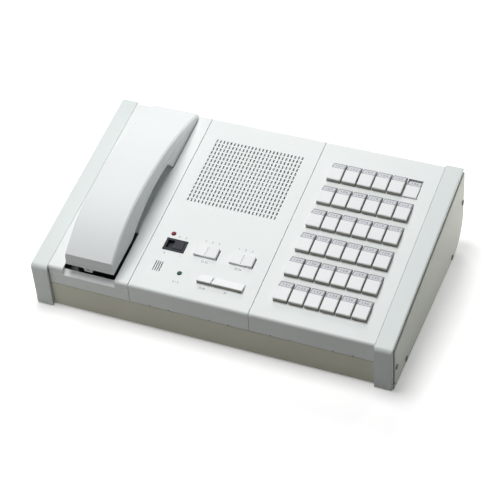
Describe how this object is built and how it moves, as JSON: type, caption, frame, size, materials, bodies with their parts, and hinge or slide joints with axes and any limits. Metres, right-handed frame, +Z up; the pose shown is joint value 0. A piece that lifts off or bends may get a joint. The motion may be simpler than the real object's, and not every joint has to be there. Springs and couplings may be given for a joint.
{
  "type": "intercom dispatch console",
  "caption": "Wedge-shaped desk intercom console with a cradled handset, a loudspeaker grille with call controls and a block of labelled selector keys.",
  "frame": {"origin": "centre of the footprint, on the table under the feet", "axes": "+X to the right along the length, +Y to the rear, +Z up; the keys face the front at -Y"},
  "size_m": [0.3712, 0.22, 0.1072],
  "materials": {
    "panel_plastic": "fine matt, cool white",
    "end_plastic": "fine matt, pale blue-green white",
    "base_paint": "satin, warm olive grey",
    "handset_plastic": "smooth matt",
    "key_plastic": "smooth matt",
    "grey_plastic": "matt",
    "black_plastic": "matt",
    "dark_metal": "blackened",
    "foot_rubber": "matt",
    "board": "matt",
    "speaker_paper": "matt",
    "red_lens": "glossy, translucent",
    "green_lens": "glossy, translucent"
  },
  "bodies": {
    "console": {"base_pan": "base_paint", "left_cheek": "end_plastic", "right_cheek": "end_plastic", "side_plates": "end_plastic", "side_screws": "dark_metal", "feet": "foot_rubber", "rear_socket": "black_plastic", "cradle_panel": "panel_plastic", "control_panel": "panel_plastic", "key_panel": "panel_plastic", "circuit_board": "board", "speaker": "speaker_paper", "switch_bezel": "black_plastic", "red_lamp": "red_lens", "green_lamp": "green_lens"},
    "handset": {"handset_outer_shell": "handset_plastic", "handset_inner_shell": "handset_plastic", "handset_capsules": "black_plastic"},
    "plunger": {"hook_plunger": "black_plastic"},
    "slider": {"slide_knob": "grey_plastic"},
    "left_rocker": {"left_rocker": "key_plastic"},
    "right_rocker": {"right_rocker": "key_plastic"},
    "short_key": {"short_key": "key_plastic"},
    "long_key": {"long_key": "key_plastic"},
    "station_key_01": {"station_key_01": "key_plastic"},
    "station_key_02": {"station_key_02": "key_plastic"},
    "station_key_03": {"station_key_03": "key_plastic"},
    "station_key_04": {"station_key_04": "key_plastic"},
    "station_key_05": {"station_key_05": "key_plastic"},
    "station_key_06": {"station_key_06": "key_plastic"},
    "station_key_07": {"station_key_07": "key_plastic"},
    "station_key_08": {"station_key_08": "key_plastic"},
    "station_key_09": {"station_key_09": "key_plastic"},
    "station_key_10": {"station_key_10": "key_plastic"},
    "station_key_11": {"station_key_11": "key_plastic"},
    "station_key_12": {"station_key_12": "key_plastic"},
    "station_key_13": {"station_key_13": "key_plastic"},
    "station_key_14": {"station_key_14": "key_plastic"},
    "station_key_15": {"station_key_15": "key_plastic"},
    "station_key_16": {"station_key_16": "key_plastic"},
    "station_key_17": {"station_key_17": "key_plastic"},
    "station_key_18": {"station_key_18": "key_plastic"},
    "station_key_19": {"station_key_19": "key_plastic"},
    "station_key_20": {"station_key_20": "key_plastic"},
    "station_key_21": {"station_key_21": "key_plastic"},
    "station_key_22": {"station_key_22": "key_plastic"},
    "station_key_23": {"station_key_23": "key_plastic"},
    "station_key_24": {"station_key_24": "key_plastic"},
    "station_key_25": {"station_key_25": "key_plastic"},
    "station_key_26": {"station_key_26": "key_plastic"},
    "station_key_27": {"station_key_27": "key_plastic"},
    "station_key_28": {"station_key_28": "key_plastic"},
    "station_key_29": {"station_key_29": "key_plastic"},
    "station_key_30": {"station_key_30": "key_plastic"},
    "station_key_31": {"station_key_31": "key_plastic"},
    "station_key_32": {"station_key_32": "key_plastic"},
    "station_key_33": {"station_key_33": "key_plastic"},
    "station_key_34": {"station_key_34": "key_plastic"},
    "station_key_35": {"station_key_35": "key_plastic"},
    "station_key_36": {"station_key_36": "key_plastic"}
  },
  "joints": [
    {"name": "handset_lift", "type": "slide", "parent": "console", "child": "handset", "axis": [0, -0.181, 0.9835], "range_m": [0, 0.12]},
    {"name": "plunger_rise", "type": "slide", "parent": "console", "child": "plunger", "axis": [0, -0.181, 0.9835], "range_m": [0, 0.004]},
    {"name": "slider_slide", "type": "slide", "parent": "console", "child": "slider", "axis": [-1, 0, 0], "range_m": [0, 0.0068]},
    {"name": "left_rocker_tilt", "type": "hinge", "parent": "console", "child": "left_rocker", "pos_m": [-0.0212, -0.05, 0.05594], "axis": [0, 0.9835, 0.181], "range_deg": [-6, 6]},
    {"name": "right_rocker_tilt", "type": "hinge", "parent": "console", "child": "right_rocker", "pos_m": [0.0158, -0.05, 0.05594], "axis": [0, 0.9835, 0.181], "range_deg": [-6, 6]},
    {"name": "short_key_press", "type": "slide", "parent": "console", "child": "short_key", "axis": [0, 0.181, -0.9835], "range_m": [0, 0.003], "stiffness_N_per_m": 300, "springref_m": -0.001},
    {"name": "long_key_press", "type": "slide", "parent": "console", "child": "long_key", "axis": [0, 0.181, -0.9835], "range_m": [0, 0.003], "stiffness_N_per_m": 300, "springref_m": -0.001},
    {"name": "station_key_01_press", "type": "slide", "parent": "console", "child": "station_key_01", "axis": [0, 0.181, -0.9835], "range_m": [0, 0.003], "stiffness_N_per_m": 300, "springref_m": -0.001},
    {"name": "station_key_02_press", "type": "slide", "parent": "console", "child": "station_key_02", "axis": [0, 0.181, -0.9835], "range_m": [0, 0.003], "stiffness_N_per_m": 300, "springref_m": -0.001},
    {"name": "station_key_03_press", "type": "slide", "parent": "console", "child": "station_key_03", "axis": [0, 0.181, -0.9835], "range_m": [0, 0.003], "stiffness_N_per_m": 300, "springref_m": -0.001},
    {"name": "station_key_04_press", "type": "slide", "parent": "console", "child": "station_key_04", "axis": [0, 0.181, -0.9835], "range_m": [0, 0.003], "stiffness_N_per_m": 300, "springref_m": -0.001},
    {"name": "station_key_05_press", "type": "slide", "parent": "console", "child": "station_key_05", "axis": [0, 0.181, -0.9835], "range_m": [0, 0.003], "stiffness_N_per_m": 300, "springref_m": -0.001},
    {"name": "station_key_06_release", "type": "slide", "parent": "console", "child": "station_key_06", "axis": [0, -0.181, 0.9835], "range_m": [0, 0.003]},
    {"name": "station_key_07_press", "type": "slide", "parent": "console", "child": "station_key_07", "axis": [0, 0.181, -0.9835], "range_m": [0, 0.003], "stiffness_N_per_m": 300, "springref_m": -0.001},
    {"name": "station_key_08_press", "type": "slide", "parent": "console", "child": "station_key_08", "axis": [0, 0.181, -0.9835], "range_m": [0, 0.003], "stiffness_N_per_m": 300, "springref_m": -0.001},
    {"name": "station_key_09_press", "type": "slide", "parent": "console", "child": "station_key_09", "axis": [0, 0.181, -0.9835], "range_m": [0, 0.003], "stiffness_N_per_m": 300, "springref_m": -0.001},
    {"name": "station_key_10_press", "type": "slide", "parent": "console", "child": "station_key_10", "axis": [0, 0.181, -0.9835], "range_m": [0, 0.003], "stiffness_N_per_m": 300, "springref_m": -0.001},
    {"name": "station_key_11_press", "type": "slide", "parent": "console", "child": "station_key_11", "axis": [0, 0.181, -0.9835], "range_m": [0, 0.003], "stiffness_N_per_m": 300, "springref_m": -0.001},
    {"name": "station_key_12_press", "type": "slide", "parent": "console", "child": "station_key_12", "axis": [0, 0.181, -0.9835], "range_m": [0, 0.003], "stiffness_N_per_m": 300, "springref_m": -0.001},
    {"name": "station_key_13_press", "type": "slide", "parent": "console", "child": "station_key_13", "axis": [0, 0.181, -0.9835], "range_m": [0, 0.003], "stiffness_N_per_m": 300, "springref_m": -0.001},
    {"name": "station_key_14_press", "type": "slide", "parent": "console", "child": "station_key_14", "axis": [0, 0.181, -0.9835], "range_m": [0, 0.003], "stiffness_N_per_m": 300, "springref_m": -0.001},
    {"name": "station_key_15_press", "type": "slide", "parent": "console", "child": "station_key_15", "axis": [0, 0.181, -0.9835], "range_m": [0, 0.003], "stiffness_N_per_m": 300, "springref_m": -0.001},
    {"name": "station_key_16_press", "type": "slide", "parent": "console", "child": "station_key_16", "axis": [0, 0.181, -0.9835], "range_m": [0, 0.003], "stiffness_N_per_m": 300, "springref_m": -0.001},
    {"name": "station_key_17_press", "type": "slide", "parent": "console", "child": "station_key_17", "axis": [0, 0.181, -0.9835], "range_m": [0, 0.003], "stiffness_N_per_m": 300, "springref_m": -0.001},
    {"name": "station_key_18_press", "type": "slide", "parent": "console", "child": "station_key_18", "axis": [0, 0.181, -0.9835], "range_m": [0, 0.003], "stiffness_N_per_m": 300, "springref_m": -0.001},
    {"name": "station_key_19_press", "type": "slide", "parent": "console", "child": "station_key_19", "axis": [0, 0.181, -0.9835], "range_m": [0, 0.003], "stiffness_N_per_m": 300, "springref_m": -0.001},
    {"name": "station_key_20_press", "type": "slide", "parent": "console", "child": "station_key_20", "axis": [0, 0.181, -0.9835], "range_m": [0, 0.003], "stiffness_N_per_m": 300, "springref_m": -0.001},
    {"name": "station_key_21_press", "type": "slide", "parent": "console", "child": "station_key_21", "axis": [0, 0.181, -0.9835], "range_m": [0, 0.003], "stiffness_N_per_m": 300, "springref_m": -0.001},
    {"name": "station_key_22_press", "type": "slide", "parent": "console", "child": "station_key_22", "axis": [0, 0.181, -0.9835], "range_m": [0, 0.003], "stiffness_N_per_m": 300, "springref_m": -0.001},
    {"name": "station_key_23_press", "type": "slide", "parent": "console", "child": "station_key_23", "axis": [0, 0.181, -0.9835], "range_m": [0, 0.003], "stiffness_N_per_m": 300, "springref_m": -0.001},
    {"name": "station_key_24_press", "type": "slide", "parent": "console", "child": "station_key_24", "axis": [0, 0.181, -0.9835], "range_m": [0, 0.003], "stiffness_N_per_m": 300, "springref_m": -0.001},
    {"name": "station_key_25_press", "type": "slide", "parent": "console", "child": "station_key_25", "axis": [0, 0.181, -0.9835], "range_m": [0, 0.003], "stiffness_N_per_m": 300, "springref_m": -0.001},
    {"name": "station_key_26_press", "type": "slide", "parent": "console", "child": "station_key_26", "axis": [0, 0.181, -0.9835], "range_m": [0, 0.003], "stiffness_N_per_m": 300, "springref_m": -0.001},
    {"name": "station_key_27_press", "type": "slide", "parent": "console", "child": "station_key_27", "axis": [0, 0.181, -0.9835], "range_m": [0, 0.003], "stiffness_N_per_m": 300, "springref_m": -0.001},
    {"name": "station_key_28_press", "type": "slide", "parent": "console", "child": "station_key_28", "axis": [0, 0.181, -0.9835], "range_m": [0, 0.003], "stiffness_N_per_m": 300, "springref_m": -0.001},
    {"name": "station_key_29_press", "type": "slide", "parent": "console", "child": "station_key_29", "axis": [0, 0.181, -0.9835], "range_m": [0, 0.003], "stiffness_N_per_m": 300, "springref_m": -0.001},
    {"name": "station_key_30_press", "type": "slide", "parent": "console", "child": "station_key_30", "axis": [0, 0.181, -0.9835], "range_m": [0, 0.003], "stiffness_N_per_m": 300, "springref_m": -0.001},
    {"name": "station_key_31_press", "type": "slide", "parent": "console", "child": "station_key_31", "axis": [0, 0.181, -0.9835], "range_m": [0, 0.003], "stiffness_N_per_m": 300, "springref_m": -0.001},
    {"name": "station_key_32_press", "type": "slide", "parent": "console", "child": "station_key_32", "axis": [0, 0.181, -0.9835], "range_m": [0, 0.003], "stiffness_N_per_m": 300, "springref_m": -0.001},
    {"name": "station_key_33_press", "type": "slide", "parent": "console", "child": "station_key_33", "axis": [0, 0.181, -0.9835], "range_m": [0, 0.003], "stiffness_N_per_m": 300, "springref_m": -0.001},
    {"name": "station_key_34_press", "type": "slide", "parent": "console", "child": "station_key_34", "axis": [0, 0.181, -0.9835], "range_m": [0, 0.003], "stiffness_N_per_m": 300, "springref_m": -0.001},
    {"name": "station_key_35_press", "type": "slide", "parent": "console", "child": "station_key_35", "axis": [0, 0.181, -0.9835], "range_m": [0, 0.003], "stiffness_N_per_m": 300, "springref_m": -0.001},
    {"name": "station_key_36_press", "type": "slide", "parent": "console", "child": "station_key_36", "axis": [0, 0.181, -0.9835], "range_m": [0, 0.003], "stiffness_N_per_m": 300, "springref_m": -0.001}
  ],
  "couplings": [
    {"joint": "plunger_rise", "follows": "handset_lift", "ratio": 0.0333}
  ]
}
